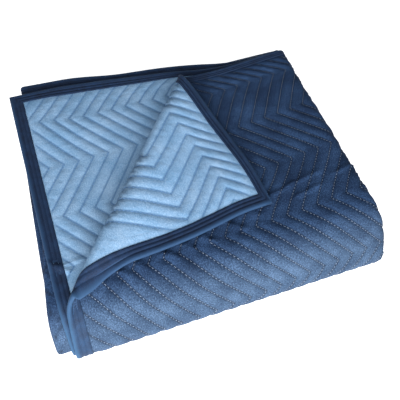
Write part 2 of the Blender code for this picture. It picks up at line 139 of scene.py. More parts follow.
def chain(start, pieces):
    """A path of straights and bends: one row for each, with its start, heading and curvature."""
    rows = []
    x, y = start
    heading = 0.0
    travelled = 0.0
    for length, turn in pieces:
        bend = turn / length
        rows.append((travelled, x, y, heading, bend))
        if turn == 0:
            x += length * math.cos(heading)
            y += length * math.sin(heading)
        else:
            x += (math.sin(heading + turn) - math.sin(heading)) / bend
            y -= (math.cos(heading + turn) - math.cos(heading)) / bend
        heading += turn
        travelled += length
    return np.array(rows)


def along(path, distance, offset):
    """Points at the given distances along a path, stood off its left side."""
    index = np.clip(np.searchsorted(path[:, 0], distance, side="right") - 1, 0, len(path) - 1)
    begin, x, y, heading, bend = path[index].T
    step = distance - begin
    now = heading + bend * step
    straight = np.abs(bend) < 1e-9
    safe = np.where(straight, 1.0, bend)
    px = x + np.where(straight, step * np.cos(heading), (np.sin(now) - np.sin(heading)) / safe)
    py = y + np.where(straight, step * np.sin(heading), -(np.cos(now) - np.cos(heading)) / safe)
    return px - offset * np.sin(now), py + offset * np.cos(now)


def round_bend(radius, turn):
    """One bend of a path: its length, and its turn, which is negative to the right."""
    return radius * abs(turn), turn


SIDE_CENTRE = RIGHT_APEX - 1.5 * PITCH - HALF
NOSE_CENTRE = NOSE_APEX + 0.5 * PITCH + HALF
TOP_RUN = SIDE_CENTRE - LEFT_EDGE
INNER_RUN = SIDE_CENTRE - NOSE_CENTRE
SIDE_PIECES = (
    (TOP_RUN, 0),
    round_bend(1.5 * PITCH, -math.pi),
    (INNER_RUN, 0),
    round_bend(0.5 * PITCH, -math.pi),
    (INNER_RUN, 0),
    round_bend(0.5 * PITCH, math.pi),
    (TOP_RUN, 0),
)
SIDE_PATH = chain((LEFT_EDGE, 1.5 * PITCH), SIDE_PIECES)
SIDE_MARKS = np.concatenate(([0.0], np.cumsum([length for length, turn in SIDE_PIECES])))
SIDE_TOTAL = SIDE_MARKS[-1]
NOSE_MIDDLE = (SIDE_MARKS[3] + SIDE_MARKS[4]) / 2
LOWER_START, LOWER_END = SIDE_MARKS[2], SIDE_MARKS[5]
TOP_HEIGHT = HALF + 13.5 * PITCH
WRAP_SLOPE = (
    15 * PITCH
    - WRAP_TOP_RADIUS * (1 - math.cos(WRAP_TOP_TURN))
    - WRAP_FLOOR_RADIUS * (1 + math.cos(WRAP_TOP_TURN))
) / math.sin(WRAP_TOP_TURN)
FLOOR_TURN = math.pi - WRAP_TOP_TURN
FLOOR_START = (
    -WRAP_START
    + (WRAP_TOP_RADIUS - WRAP_FLOOR_RADIUS) * math.sin(WRAP_TOP_TURN)
    + WRAP_SLOPE * math.cos(WRAP_TOP_TURN)
)
DEPTH_PIECES = (
    (BACK_EDGE - WRAP_START, 0),
    round_bend(WRAP_TOP_RADIUS - 1.5 * PITCH, -WRAP_TOP_TURN),
    (WRAP_SLOPE, 0),
    round_bend(WRAP_FLOOR_RADIUS - 1.5 * PITCH, -FLOOR_TURN),
    (FLOOR_START + BACK_FOLD_CENTRE, 0),
    round_bend(2 * PITCH, -math.pi),
    (BACK_FOLD_CENTRE - INNER_FOLD_CENTRE, 0),
    round_bend(2 * PITCH, math.pi),
    (LOWER_BACK_EDGE - INNER_FOLD_CENTRE, 0),
)
DEPTH_PATH = chain((-BACK_EDGE, TOP_HEIGHT), DEPTH_PIECES)
OUTER_LENGTHS = [length for length, turn in DEPTH_PIECES]
OUTER_LENGTHS[1] = WRAP_TOP_RADIUS * WRAP_TOP_TURN
OUTER_LENGTHS[3] = WRAP_FLOOR_RADIUS * FLOOR_TURN
OUTER_MARKS = np.concatenate(([0.0], np.cumsum(OUTER_LENGTHS)))
MIDDLE_MARKS = np.concatenate(([0.0], np.cumsum([length for length, turn in DEPTH_PIECES])))
FOLD_LINE = np.array(FOLD_BACK)
FOLD_LENGTH = math.dist(FOLD_BACK, FOLD_FRONT)
FOLD_RUN = (np.array(FOLD_FRONT) - FOLD_LINE) / FOLD_LENGTH
FOLD_OUT = np.array((FOLD_RUN[1], -FOLD_RUN[0]))


def smooth_line(knots, values, x):
    """A smooth curve through a table's values, with straight ends."""
    knots = np.asarray(knots, float)
    values = np.asarray(values, float)
    if values.ndim == 1:
        values = np.repeat(values[:, None], len(x), axis=1)
    slopes = np.gradient(values, knots, axis=0)
    i = np.clip(np.searchsorted(knots, x, side="right") - 1, 0, len(knots) - 2)
    column = np.arange(len(x))
    width = knots[i + 1] - knots[i]
    t = np.clip((x - knots[i]) / width, 0.0, 1.0)
    curve = (
        (2 * t**3 - 3 * t**2 + 1) * values[i, column]
        + (t**3 - 2 * t**2 + t) * width * slopes[i, column]
        + (3 * t**2 - 2 * t**3) * values[i + 1, column]
        + (t**3 - t**2) * width * slopes[i + 1, column]
    )
    before = np.minimum(x - knots[0], 0.0) * slopes[0]
    after = np.maximum(x - knots[-1], 0.0) * slopes[-1]
    return curve + before + after


def table_line(x, table):
    """The smooth curve through a table of two columns."""
    return smooth_line(*zip(*table), x)


def ease(x, start, end):
    """0 before start, 1 after end, and a smooth rise between them."""
    t = np.clip((x - start) / (end - start), 0.0, 1.0)
    return t * t * (3 - 2 * t)


def lay(u, v):
    """Slide the flat cloth into place on the pack: thread to laid coordinates."""
    u = np.asarray(u, float)
    v = np.asarray(v, float)
    places = [row[0] for row in TOP_LAY]
    v_top = np.minimum(v, places[-1])
    u_top = np.minimum(u, HOLD_U[0])
    x_rows = np.stack([smooth_line(TOP_LAY_U, row[1], u_top) for row in TOP_LAY])
    f_rows = np.stack([smooth_line(TOP_LAY_U, row[2], u_top) for row in TOP_LAY])
    x_top = smooth_line(places, x_rows, v_top)
    f_top = smooth_line(places, f_rows, v_top)
    shift_a = x_top - LEFT_EDGE - u_top
    shift_c = f_top + BACK_EDGE - v_top
    plain_a = PLAIN_A + (SIDE_TOTAL - SHEET_U - PLAIN_A) * u / SHEET_U
    plain_c = PLAIN_C + (OUTER_MARKS[-1] - SHEET_V - PLAIN_C) * v / SHEET_V
    lower_x = NOSE_CENTRE + np.abs(u + plain_a - NOSE_MIDDLE)
    lower_edge = BACK_EDGE - table_line(lower_x, LOWER_LAY)
    lower_c = plain_c + (lower_edge - PLAIN_C) * (1 - ease(v, *LOWER_EDGE_V))
    second_x = LEFT_EDGE + (SHEET_U - u)
    second_edge = BACK_EDGE - table_line(second_x, SECOND_LAY)
    past_edge = ease(v, *SECOND_EDGE_V)
    drift_v, drift, drift_open = zip(*SECOND_ROWS)
    open_side = ease(u, *OPEN_U)
    drift = np.interp(v, drift_v, drift) * (1 - open_side) + np.interp(v, drift_v, drift_open) * open_side
    rows = (SECOND_C - PLAIN_C) * past_edge * (1 - ease(v, *SECOND_HOLD_V)) + drift
    second_c = plain_c + (second_edge - PLAIN_C) * (1 - past_edge) + rows
    plain_c = lower_c + ease(u, *SECOND_U) * (second_c - lower_c)
    hold = (1 - ease(u, *HOLD_U)) * (1 - ease(v, *HOLD_V))
    return u + plain_a + hold * (shift_a - plain_a), v + plain_c + hold * (shift_c - plain_c)


def past_fold(a, c):
    """How far laid points lie beyond the corner's fold line."""
    return (a + LEFT_EDGE - FOLD_LINE[0]) * FOLD_OUT[0] + (BACK_EDGE - c - FOLD_LINE[1]) * FOLD_OUT[1]


def turn_corner(a, c, stand):
    """Turn the top layer's corner over its roll, and let it down on the layer below it."""
    past = past_fold(a, c)
    turned = (past > 0) & (a < TOP_RUN) & (c < OUTER_MARKS[2])
    angle = np.clip(past, 0, math.pi * ROLL) / ROLL
    beyond = np.maximum(past - math.pi * ROLL, 0.0)
    drop = (2 * ROLL - FLAP_REST) * ease(beyond, 0.0, FLAP_FALL)
    out = (ROLL - stand) * np.sin(angle) - beyond
    rise = ROLL - (ROLL - stand) * np.cos(angle) - drop
    move = np.where(turned, out - past, 0.0)
    return a + move * FOLD_OUT[0], c - move * FOLD_OUT[1], np.where(turned, rise, stand)


def ripple(x, y, size, seed):
    """Smooth seeded unevenness between -1 and 1, at one size in metres."""
    random = np.random.default_rng(seed)
    table = random.uniform(-1, 1, (64, 64))
    px, py = x / size + 17.3, y / size + 23.7
    ix, iy = np.floor(px).astype(int), np.floor(py).astype(int)
    tx, ty = px - ix, py - iy
    tx, ty = tx * tx * (3 - 2 * tx), ty * ty * (3 - 2 * ty)
    ix, iy, jx, jy = ix % 64, iy % 64, (ix + 1) % 64, (iy + 1) % 64
    low = table[ix, iy] * (1 - tx) + table[jx, iy] * tx
    high = table[ix, jy] * (1 - tx) + table[jx, jy] * tx
    return low * (1 - ty) + high * ty


UNEVEN = 0.0018
UNEVEN_Z = (0.010, 0.080)
EDGE_FALL = 0.013
EDGE_START = (0.0, 0.045)
EDGE_SPREAD = 0.35
LOWEST = 0.0002
CREASES = (
    # where the cloth is pushed up: from u, v to u, v in metres, half width and height in mm
    (0.340, 0.322, 0.385, 0.314, 4.0, 2.6),
    (0.385, 0.314, 0.432, 0.309, 4.0, 2.2),
    (0.382, 0.337, 0.425, 0.333, 3.5, 2.4),
    (0.455, 0.323, 0.500, 0.317, 4.0, 2.4),
    (0.050, 0.352, 0.062, 0.366, 4.0, 4.0),
    (0.082, 0.354, 0.098, 0.366, 3.5, 4.2),
    (0.112, 0.350, 0.124, 0.364, 3.5, 4.0),
    (0.160, 0.354, 0.176, 0.366, 3.5, 4.4),
    (0.192, 0.350, 0.206, 0.362, 3.5, 4.0),
    (0.222, 0.348, 0.238, 0.362, 3.5, 4.4),
    (0.272, 0.346, 0.288, 0.358, 3.5, 4.0),
    (0.302, 0.334, 0.318, 0.346, 4.0, 2.6),
    (0.060, 0.400, 0.090, 0.372, 5.0, 1.8),
    (0.150, 0.410, 0.190, 0.380, 5.0, 1.6),
    (0.250, 0.395, 0.275, 0.368, 5.0, 1.6),
    (2.040, 0.345, 2.015, 0.368, 3.5, -3.2),
    (2.040, 0.356, 1.990, 0.353, 3.0, -2.2),
)


def creased(u, v):
    """How far creases push the cloth towards its navy face, with a slight dip beside each."""
    push = np.zeros(len(u))
    for u0, v0, u1, v1, half_width, height in CREASES:
        du, dv = u1 - u0, v1 - v0
        t = (((u - u0) * du + (v - v0) * dv) / (du * du + dv * dv)).clip(0, 1)
        away = np.hypot(u - u0 - du * t, v - v0 - dv * t) * 1000 / half_width
        push += height / 1000 * (1 - 0.35 * away**2) * np.exp(-(away**2))
    return push


def fold(u, v, stand):
    """Thread coordinates, stood off the cloth's middle towards its navy face, in the folded pack."""
    a, c = lay(u, v)
    past = past_fold(a, c)
    # The turned corner's front edge hangs down where the roll holds it up
    hang = EDGE_FALL * (1 - ease(u, 0.0, TAPE_WIDTH)) * ease(past, *EDGE_START)
    hang = hang * (1 - ease(past, math.pi * ROLL, FLAP_FALL)) * (c < OUTER_MARKS[1])
    a = a - hang * EDGE_SPREAD
    stand = stand + creased(u, v) * np.where(u < SHEET_U / 2, past < 0, 1)
    a, c, stand = turn_corner(a, c, stand)
    x, level = along(SIDE_PATH, a, stand)
    lower = (a > LOWER_START) & (a < LOWER_END)
    x = x + lower * table_line(c, NOSE_LAY) * (1 - ease(x, *NOSE_REACH))
    forward, z = along(DEPTH_PATH, np.interp(c, OUTER_MARKS, MIDDLE_MARKS), level)
    x = x - CENTRE_X
    y = -forward - CENTRE_Y
    # The pack settles unevenly: its upper layers rise and sink together
    settle = UNEVEN * (ripple(x, y, 0.12, 3) + 0.5 * ripple(x, y, 0.055, 4))
    z = np.maximum(z + settle * ease(z, *UNEVEN_Z) - hang, LOWEST)
    return np.stack((x, y, z), axis=1)


def zig(v):
    """The sideways swing of the quilting lines: 1 at each peak, -1 at each valley."""
    phase = np.abs((v - FIRST_PEAK) / ZIG_LENGTH) % 2
    return 1 - 2 * np.where(phase > 1, 2 - phase, phase)


def line_place(u, v):
    """Which quilting line a point lies on: a whole number on a line."""
    return (u - LINE_START - ZIG_WIDTH / 2 * (zig(v) - 1)) / LINE_SPACING


def spread(*spans):
    """Places along a line, from spans of start, end and step."""
    places = []
    for start, end, step in spans:
        count = max(1, round((end - start) / step))
        places += list(np.linspace(start, end, count, endpoint=False))
    return np.array(places + [spans[-1][1]])


# The mesh's columns follow the zigzag where quilting shows, and run straight
# through the inner folds. Each has a home place and how far it follows.
BETWEEN_LINES = np.array((0.0, 0.13, 0.36, 0.64, 0.87))
FIRST_LINES = (-1, 24)
LAST_LINES = (69, 86)


def sheared_columns(first, last):
    """Home places of the columns from one quilting line to another."""
    numbers = np.add.outer(np.arange(first, last), BETWEEN_LINES).ravel()
    return LINE_START + LINE_SPACING * np.append(numbers, last)


first_columns = sheared_columns(*FIRST_LINES)
last_columns = sheared_columns(*LAST_LINES)
middle_columns = spread(
    # from, to, apart
    (first_columns[-1] + 0.0125, 0.86, 0.0125),
    (0.86, 1.000, 0.020),
    (1.000, 1.021, 0.007),
    (1.021, 1.039, 0.0012),
    (1.039, 1.060, 0.007),
    (1.060, 1.520, 0.023),
    (1.520, 1.533, 0.005),
    (1.533, 1.551, 0.0012),
    (1.551, 1.560, 0.005),
    (1.560, last_columns[0] - 0.010, 0.010),
)
homes = np.concatenate((first_columns, middle_columns, last_columns))
follow = np.ones(len(homes))
follow[len(first_columns):-len(last_columns)] = np.where(
    middle_columns < 1.2,
    1 - (middle_columns - first_columns[-1]) / 0.25,
    (middle_columns - 1.56) / (last_columns[0] - 1.56),
).clip(0, 1)

# Its rows meet every peak and valley, and are close together where they show
peaks = [FIRST_PEAK + ZIG_LENGTH * k for k in range(19)]
back_fold = (OUTER_MARKS[5] - 0.012, OUTER_MARKS[6] + 0.004)
inner_fold = (OUTER_MARKS[7] - 0.010, OUTER_MARKS[8] + 0.006)
CREASED_ROWS = (0.305, 0.405)
rows = spread(
    (PAD_INSET, FIRST_PEAK, 0.008),
    *[(peaks[k], peaks[k + 1], ZIG_LENGTH / 12) for k in range(6)],
)
rows = np.append(rows, spread((*CREASED_ROWS, ZIG_LENGTH / 30)))
late = spread(*[(peaks[k], peaks[k + 1], ZIG_LENGTH / 3) for k in range(6, 18)])
late = [v for v in late if not any(low < v < high for low, high in (back_fold, inner_fold)) or v in peaks]
late += list(spread((*back_fold, 0.0052))) + list(spread((*inner_fold, 0.0065)))
rows = np.array(sorted({round(float(v), 6) for v in [*rows, *late] if v < SHEET_V - PAD_INSET - 0.002}))
rows = np.append(rows[np.append(True, np.diff(rows) > 0.0012)], SHEET_V - PAD_INSET)

GROOVE_HALF = 0.0013
PUFF_HALF = 0.0031
PUFF_TOP = 0.0036
HEM_HALF = 0.0012
HEM_RIM = 0.0016
HEM_STEPS = (
    # inset, half thickness, inside the binding
    (0.0215, 0.0013),
    (0.0040, HEM_HALF),
)
PUFF_ROWS_END = 0.55
SMOOTH_LINES = (2.3, 2.8)
SMOOTH_V = (0.18, 0.21)


def shown_quilting(u, v):
    """The light face is nearly smooth beside the turned corner's front edge."""
    return 1 - (1 - ease(line_place(u, v), *SMOOTH_LINES)) * ease(v, *SMOOTH_V)


def cloth_stand(u, v, quilted, navy):
    """How far one face stands off the middle of the cloth, with its quilting."""
    place = line_place(u, v)
    beside = np.abs(place - np.round(place))
    puff = np.sin(math.pi * beside) ** 0.75
    cell = ripple(u, v, 0.030, 11) * 0.12 + ripple(u, v, 0.013, 12) * 0.08
    edge = np.minimum(np.minimum(u, SHEET_U - u), np.minimum(v, SHEET_V - v)) - PAD_INSET
    near = ease(edge, -0.001, 0.012)
    top = np.where(v < PUFF_ROWS_END, PUFF_TOP, PUFF_HALF) if navy else PUFF_HALF
    full = GROOVE_HALF + (top - GROOVE_HALF) * (puff * (1 + cell)).clip(0, 1.15)
    if not navy:
        quilted = quilted * shown_quilting(u, v)
    return near * (HALF + quilted * (full - HALF)) + (1 - near) * HEM_RIM


def quilted_pad():
    """The pad's closed mesh, with both faces and a thin hem inside the binding."""
    vv = np.repeat(rows[:, None], len(homes), axis=1)
    uu = homes[None, :] + follow[None, :] * ZIG_WIDTH / 2 * (zig(vv) - 1)
    uu = uu.clip(PAD_INSET, SHEET_U - PAD_INSET)
    amount = np.repeat((1 - (1 - follow) * 6).clip(0, 1)[None, :], len(rows), axis=0)
    number = np.zeros(uu.shape, int)
    u, v, quilted = [], [], []
    for i in range(len(rows)):
        for j in range(len(homes)):
            if j and uu[i, j] - u[-1] < 1e-7:
                number[i, j] = len(u) - 1
                continue
            number[i, j] = len(u)
            u.append(uu[i, j])
            v.append(vv[i, j])
            quilted.append(amount[i, j])
    faces = []
    for i in range(len(rows) - 1):
        for j in range(len(homes) - 1):
            ring = [number[i, j], number[i, j + 1], number[i + 1, j + 1], number[i + 1, j]]
            ring = [p for k, p in enumerate(ring) if p != ring[k - 1]]
            if len(ring) > 2:
                faces.append(ring)
    u, v, quilted = np.array(u), np.array(v), np.array(quilted)
    top, bottom = list(dict.fromkeys(number[0])), list(dict.fromkeys(number[-1]))
    border = top + list(number[1:-1, -1]) + bottom[::-1] + list(number[1:-1, 0])[::-1]
    shells = []
    for navy in (True, False):
        stand = cloth_stand(u, v, quilted, navy)
        sign = 1 if navy else -1
        places = [(u, v, sign * stand)]
        for inset, height in HEM_STEPS:
            bu, bv = u[border], v[border]
            ru = np.where(bu > SHEET_U - PAD_INSET - 1e-6, SHEET_U - inset, bu)
            ru = np.where(bu < PAD_INSET + 1e-6, inset, ru)
            rv = np.where(bv > SHEET_V - PAD_INSET - 1e-6, SHEET_V - inset, bv)
            rv = np.where(bv < PAD_INSET + 1e-6, inset, rv)
            places.append((ru, rv, np.full(len(ru), sign * height)))
        shells.append([np.concatenate(part) for part in zip(*places)])
    count = len(shells[0][0])
    made = [f[::-1] for f in faces] + [[p + count for p in f] for f in faces]
    n, m = len(u), len(border)
    for k in range(m):
        after = (k + 1) % m
        inner, outer = (border[k], border[after]), (n + k, n + after)
        last = (n + m + k, n + m + after)
        for near, far in ((inner, outer), (outer, last)):
            made.append([near[0], near[1], far[1], far[0]])
            made.append([p + count for p in (near[0], far[0], far[1], near[1])])
        made.append([last[0], last[1], last[1] + count, last[0] + count])
    pu, pv, stand = (np.concatenate((shells[0][k], shells[1][k])) for k in range(3))
    return pu, pv, stand, made, count


def add_mesh(name, points, faces, u, v):
    """A mesh piece whose own map holds its thread coordinates, at 2.1 m across."""
    mesh = bpy.data.meshes.new(name)
    mesh.from_pydata(points.tolist(), [], [[int(p) for p in f] for f in faces])
    mesh.polygons.foreach_set("use_smooth", np.ones(len(mesh.polygons), bool))
    corner = np.zeros(len(mesh.loops), int)
    mesh.loops.foreach_get("vertex_index", corner)
    layer = mesh.uv_layers.new(name="threads")
    layer.data.foreach_set("uv", np.stack((u[corner], v[corner]), axis=1).ravel() / 2.1)
    piece = bpy.data.objects.new(name, mesh)
    bpy.context.scene.collection.objects.link(piece)
    return piece


def mark_points(piece, name, amount):
    """Gives each point of a piece an amount that its materials can read."""
    marks = piece.data.attributes.new(name, "FLOAT", "POINT")
    marks.data.foreach_set("value", amount.astype(np.float32))


# How far forward the front is painted lighter, for the light and sheen falling on it
FRONT_LIGHT_FROM = 0.170
FRONT_LIGHT_TO = 0.240


def mark_front_light_and_sheen(piece, points):
    """Marks how much the front is painted lighter and greyer, for light and sheen: fully on the front fold."""
    mark_points(piece, "front_light_and_sheen", ease(-points[:, 1], FRONT_LIGHT_FROM, FRONT_LIGHT_TO))


def linear(code):
    """An sRGB hex colour as linear red, green, blue and alpha."""
    channels = [int(code[k:k + 2], 16) / 255 for k in (1, 3, 5)]
    return (*[c / 12.92 if c <= 0.04045 else ((c + 0.055) / 1.055) ** 2.4 for c in channels], 1.0)


def add_node(material, kind, inputs=(), **settings):
    """Adds a node to a material. Each input is a value or another node's output."""
    made = material.node_tree.nodes.new(kind)
    for name, value in settings.items():
        setattr(made, name, value)
    for name, value in dict(inputs).items():
        if isinstance(value, bpy.types.NodeSocket):
            material.node_tree.links.new(value, made.inputs[name])
        else:
            made.inputs[name].default_value = value
    return made


def brushed_cotton(name, dark, middle, light, groove_shade, front_light_tint):
    """Brushed cotton blend: heathered threads, patches of wear, painted shade along the quilting grooves and a front
    painted lighter for light and sheen.
    """
    material = bpy.data.materials.new(name)
    material.use_nodes = True
    shader = material.node_tree.nodes["Principled BSDF"]
    threads = add_node(material, "ShaderNodeUVMap", uv_map="threads").outputs["UV"]
    place = add_node(material, "ShaderNodeMapping", {"Vector": threads, "Scale": (2100, 2100, 2100)}).outputs["Vector"]
    # Worn patches are about 45 mm across, and heather streaks 1 by 3 mm
    patch = add_node(material, "ShaderNodeTexNoise", {"Vector": place, "Scale": 0.022, "Detail": 4.0, "Roughness": 0.6})
    streaks = {"Vector": place, "Scale": (0.9, 0.3, 1.0), "Rotation": (0, 0, 0.6)}
    streaks = add_node(material, "ShaderNodeMapping", streaks).outputs["Vector"]
    streak = {"Vector": streaks, "Scale": 1.0, "Detail": 3.0, "Roughness": 0.7}
    streak = add_node(material, "ShaderNodeTexNoise", streak)
    speck = add_node(material, "ShaderNodeTexNoise", {"Vector": place, "Scale": 0.55, "Detail": 2.0, "Roughness": 0.8})
    tone = add_node(material, "ShaderNodeMath", {0: patch.outputs["Fac"], 1: streak.outputs["Fac"]}, operation="ADD")
    speckled = {0: speck.outputs["Fac"], 1: 2.0, 2: tone.outputs[0]}
    tone = add_node(material, "ShaderNodeMath", speckled, operation="MULTIPLY_ADD")
    mean = add_node(material, "ShaderNodeMath", {0: tone.outputs[0], 1: 4.0}, operation="DIVIDE")
    ramp = add_node(material, "ShaderNodeValToRGB", {"Fac": mean.outputs[0]})
    ramp.color_ramp.elements[0].position = 0.41
    ramp.color_ramp.elements[0].color = linear(dark)
    ramp.color_ramp.elements[1].position = 0.59
    ramp.color_ramp.elements[1].color = linear(light)
    between = ramp.color_ramp.elements.new(0.5)
    between.color = linear(middle)
    # Painted shade darkens the cloth along each quilting groove
    groove = add_node(material, "ShaderNodeAttribute", attribute_name="groove_shade")
    mixed = add_node(material, "ShaderNodeMix", {"Factor": groove.outputs["Fac"]}, data_type="RGBA")
    material.node_tree.links.new(ramp.outputs["Color"], mixed.inputs["A"])
    mixed.inputs["B"].default_value = linear(groove_shade)
    # Painted light and sheen: the front's colour is multiplied lighter and greyer
    front_light_and_sheen = add_node(material, "ShaderNodeAttribute", attribute_name="front_light_and_sheen")
    front_lit = add_node(material, "ShaderNodeMix", {"Factor": front_light_and_sheen.outputs["Fac"]}, data_type="RGBA", blend_type="MULTIPLY")
    material.node_tree.links.new(mixed.outputs["Result"], front_lit.inputs["A"])
    front_lit.inputs["B"].default_value = (*front_light_tint, 1.0)
    material.node_tree.links.new(front_lit.outputs["Result"], shader.inputs["Base Color"])
    weave = add_node(material, "ShaderNodeTexNoise", {"Vector": place, "Scale": 0.8, "Detail": 2.0, "Roughness": 0.6})
    crumple = add_node(material, "ShaderNodeTexNoise", {"Vector": place, "Scale": 0.075, "Detail": 3.0, "Roughness": 0.55})
    soft = add_node(material, "ShaderNodeBump", {"Strength": 0.6, "Distance": 0.0025, "Height": crumple.outputs["Fac"]})
    fine = {"Strength": 0.35, "Distance": 0.0006, "Height": weave.outputs["Fac"], "Normal": soft.outputs["Normal"]}
    bump = add_node(material, "ShaderNodeBump", fine)
    material.node_tree.links.new(bump.outputs["Normal"], shader.inputs["Normal"])
    shader.inputs["Roughness"].default_value = 0.92
    shader.inputs["Specular IOR Level"].default_value = 0.15
    return material


# Painted shade along the quilting grooves: its half width and strength
GROOVE_SHADE_HALF = 0.0022
GROOVE_SHADE_STRENGTH = 0.8
pad_u, pad_v, pad_stand, pad_faces, navy_count = quilted_pad()
pad_points = fold(pad_u, pad_v, pad_stand)
pad = add_mesh("quilted_pad_cloth", pad_points, pad_faces, pad_u, pad_v)
# The last colour of each is the painted shade in the quilting grooves
navy_shades = ("#112039", "#1C304C", "#30496C", "#0A1424")
light_blue_shades = ("#5F86A8", "#7495B5", "#8FABC6", "#44678B")
# The navy front is painted lighter and greyer by this factor, for light and sheen; the light face is left as it is
pad.data.materials.append(brushed_cotton("navy_brushed_cotton", *navy_shades, (2.1, 1.55, 1.15)))
pad.data.materials.append(brushed_cotton("light_blue_brushed_cotton", *light_blue_shades, (1.0, 1.0, 1.0)))
mark_front_light_and_sheen(pad, pad_points)
sides = np.array([1 if min(f) >= navy_count else 0 for f in pad_faces])
pad.data.polygons.foreach_set("material_index", sides)
# How much painted shade each point gets from its nearest quilting groove
pad_place = line_place(pad_u, pad_v)
from_line = np.abs(pad_place - np.round(pad_place)) * LINE_SPACING
pad_groove_shade = GROOVE_SHADE_STRENGTH * np.exp(-((from_line / GROOVE_SHADE_HALF) ** 2))
pad_groove_shade[navy_count:] *= shown_quilting(pad_u[navy_count:], pad_v[navy_count:])
mark_points(pad, "groove_shade", pad_groove_shade)
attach(pad, "root")
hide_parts("quilted_pad")

# Edge binding
# One woven tape, folded over the pad's edge and sewn through with two rows,
# which press two grooves into it. Its corners are mitred.
TAPE_SECTION = (
    # inset from the sheet's edge, stand, in millimetres
    (22.0, 1.5), (22.1, 2.1), (21.4, 2.6), (19.0, 2.75), (16.8, 2.55), (15.9, 1.7), (15.0, 2.5),
    (12.5, 2.85), (10.2, 2.6), (9.3, 1.7), (8.4, 2.6), (6.5, 3.1), (4.0, 3.25), (1.8, 2.9), (0.5, 2.0), (0.1, 1.0),
    (0.0, 0.0),
    (0.1, -1.0), (0.5, -2.0), (1.8, -2.9), (4.0, -3.25), (6.5, -3.1), (8.4, -2.6), (9.3, -1.7), (10.2, -2.6),
    (12.5, -2.85), (15.0, -2.5), (15.9, -1.7), (16.8, -2.55), (19.0, -2.75), (21.4, -2.6), (22.1, -2.1),
    (22.0, -1.5), (2.0, -1.45), (2.0, 1.45),
)


def edge_binding():
    """The tape's closed mesh: its section carried round the sheet, mitred at the corners."""
    across = spread(
        # from, to, apart
        (0.030, 0.490, 0.005),
        (0.490, 0.535, 0.0025),
        (0.535, 1.019, 0.022),
        (1.019, 1.041, 0.0012),
        (1.041, 1.531, 0.022),
        (1.531, 1.553, 0.0012),
        (1.553, 1.700, 0.012),
        (1.700, SHEET_U - 0.030, 0.005),
    )
    down = spread(
        # from, to, apart
        (0.030, 0.640, 0.005),
        (0.640, back_fold[0], 0.022),
        (*back_fold, 0.0026),
        (back_fold[1], inner_fold[0], 0.022),
        (*inner_fold, 0.0030),
        (inner_fold[1], SHEET_V - 0.030, 0.022),
    )
    rings = []
    for inset, height in TAPE_SECTION:
        d = inset / 1000
        left, right = np.full(len(down) + 1, d), np.full(len(down) + 2, SHEET_U - d)
        back, front = np.full(len(across) + 2, d), np.full(len(across) + 2, SHEET_V - d)
        u = np.concatenate(([d], across, right, across[::-1], left))
        v = np.concatenate((back, down, front, down[::-1]))
        rings.append((u, v, np.full(len(u), height / 1000)))
    n, m = len(rings), len(rings[0][0])
    u, v, stand = (np.concatenate([ring[k] for ring in rings]) for k in range(3))
    faces = []
    for i in range(n):
        for k in range(m):
            here, after = i * m, ((i + 1) % n) * m
            faces.append([here + k, here + (k + 1) % m, after + (k + 1) % m, after + k])
    return u, v, stand, faces


def woven_tape(name, dark, light, rim_highlight, front_light_tint):
    """Woven polyester tape: fine specks, smoother than the cloth, with a painted highlight along its outer edge and a
    front painted lighter for light and sheen.
    """
    material = bpy.data.materials.new(name)
    material.use_nodes = True
    shader = material.node_tree.nodes["Principled BSDF"]
    threads = add_node(material, "ShaderNodeUVMap", uv_map="threads").outputs["UV"]
    place = add_node(material, "ShaderNodeMapping", {"Vector": threads, "Scale": (2100, 2100, 2100)}).outputs["Vector"]
    patch = add_node(material, "ShaderNodeTexNoise", {"Vector": place, "Scale": 0.06, "Detail": 4.0, "Roughness": 0.65})
    speck = add_node(material, "ShaderNodeTexNoise", {"Vector": place, "Scale": 0.7, "Detail": 2.0, "Roughness": 0.7})
    tone = add_node(material, "ShaderNodeMath", {0: patch.outputs["Fac"], 1: speck.outputs["Fac"]}, operation="ADD")
    half = add_node(material, "ShaderNodeMath", {0: tone.outputs[0], 1: 2.0}, operation="DIVIDE")
    ramp = add_node(material, "ShaderNodeValToRGB", {"Fac": half.outputs[0]})
    ramp.color_ramp.elements[0].position = 0.36
    ramp.color_ramp.elements[0].color = linear(dark)
    ramp.color_ramp.elements[1].position = 0.66
    ramp.color_ramp.elements[1].color = linear(light)
    # Painted highlight along the tape's outer edge
    outside = add_node(material, "ShaderNodeAttribute", attribute_name="rim")
    edge = add_node(material, "ShaderNodeMix", {"Factor": outside.outputs["Fac"]}, data_type="RGBA")
    material.node_tree.links.new(ramp.outputs["Color"], edge.inputs["A"])
    edge.inputs["B"].default_value = linear(rim_highlight)
    # Painted light and sheen: the tape's front is multiplied lighter
    front_light_and_sheen = add_node(material, "ShaderNodeAttribute", attribute_name="front_light_and_sheen")
    front_lit = add_node(material, "ShaderNodeMix", {"Factor": front_light_and_sheen.outputs["Fac"]}, data_type="RGBA", blend_type="MULTIPLY")
    material.node_tree.links.new(edge.outputs["Result"], front_lit.inputs["A"])
    front_lit.inputs["B"].default_value = (*front_light_tint, 1.0)
    material.node_tree.links.new(front_lit.outputs["Result"], shader.inputs["Base Color"])
    bump = add_node(material, "ShaderNodeBump", {"Strength": 0.3, "Distance": 0.0005, "Height": speck.outputs["Fac"]})
    material.node_tree.links.new(bump.outputs["Normal"], shader.inputs["Normal"])
    shader.inputs["Roughness"].default_value = 0.75
    shader.inputs["Specular IOR Level"].default_value = 0.22
    shader.inputs["Sheen Weight"].default_value = 0.04
    shader.inputs["Sheen Tint"].default_value = linear("#B8C8E4")
    return material


tape_u, tape_v, tape_stand, tape_faces = edge_binding()
tape_points = fold(tape_u, tape_v, tape_stand)
tape = add_mesh("edge_binding_tape", tape_points, tape_faces, tape_u, tape_v)
